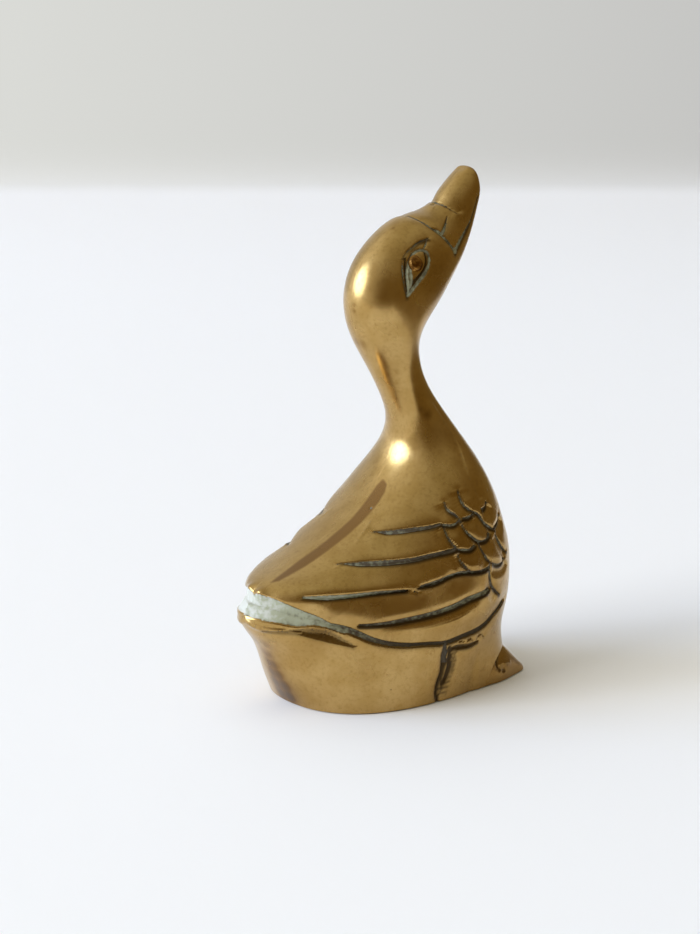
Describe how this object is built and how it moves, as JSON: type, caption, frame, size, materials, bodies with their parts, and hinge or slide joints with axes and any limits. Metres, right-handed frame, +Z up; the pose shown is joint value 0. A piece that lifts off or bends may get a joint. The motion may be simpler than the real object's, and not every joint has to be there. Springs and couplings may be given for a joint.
{
  "type": "brass duck figurine",
  "caption": "Hollow cast duck figurine that sits on a flat closed underside, with folded wings, a slender neck and a raised bill.",
  "frame": {"origin": "middle of the duck's length and width, on the underside it sits on", "axes": "+X forward towards the breast and the toes, +Y to the duck's left, +Z up"},
  "size_m": [0.0534, 0.0346, 0.0898],
  "materials": {
    "cast_brass": "cast, polished and worn, with brown tarnish and green residue in the chased lines",
    "braze": "browner filler metal, dressed flush",
    "eye_brass": "redder brass pin with a worn dome",
    "sheet_brass": "rolled sheet, ground flat",
    "solder": "dull grey soft solder, ground flat"
  },
  "bodies": {
    "root": {"right_half_casting": "cast_brass", "left_half_casting": "cast_brass", "seam_braze": "braze", "right_foot": "cast_brass", "left_foot": "cast_brass", "right_eye": "eye_brass", "left_eye": "eye_brass", "base_plate": "sheet_brass", "base_solder": "solder"}
  },
  "joints": []
}
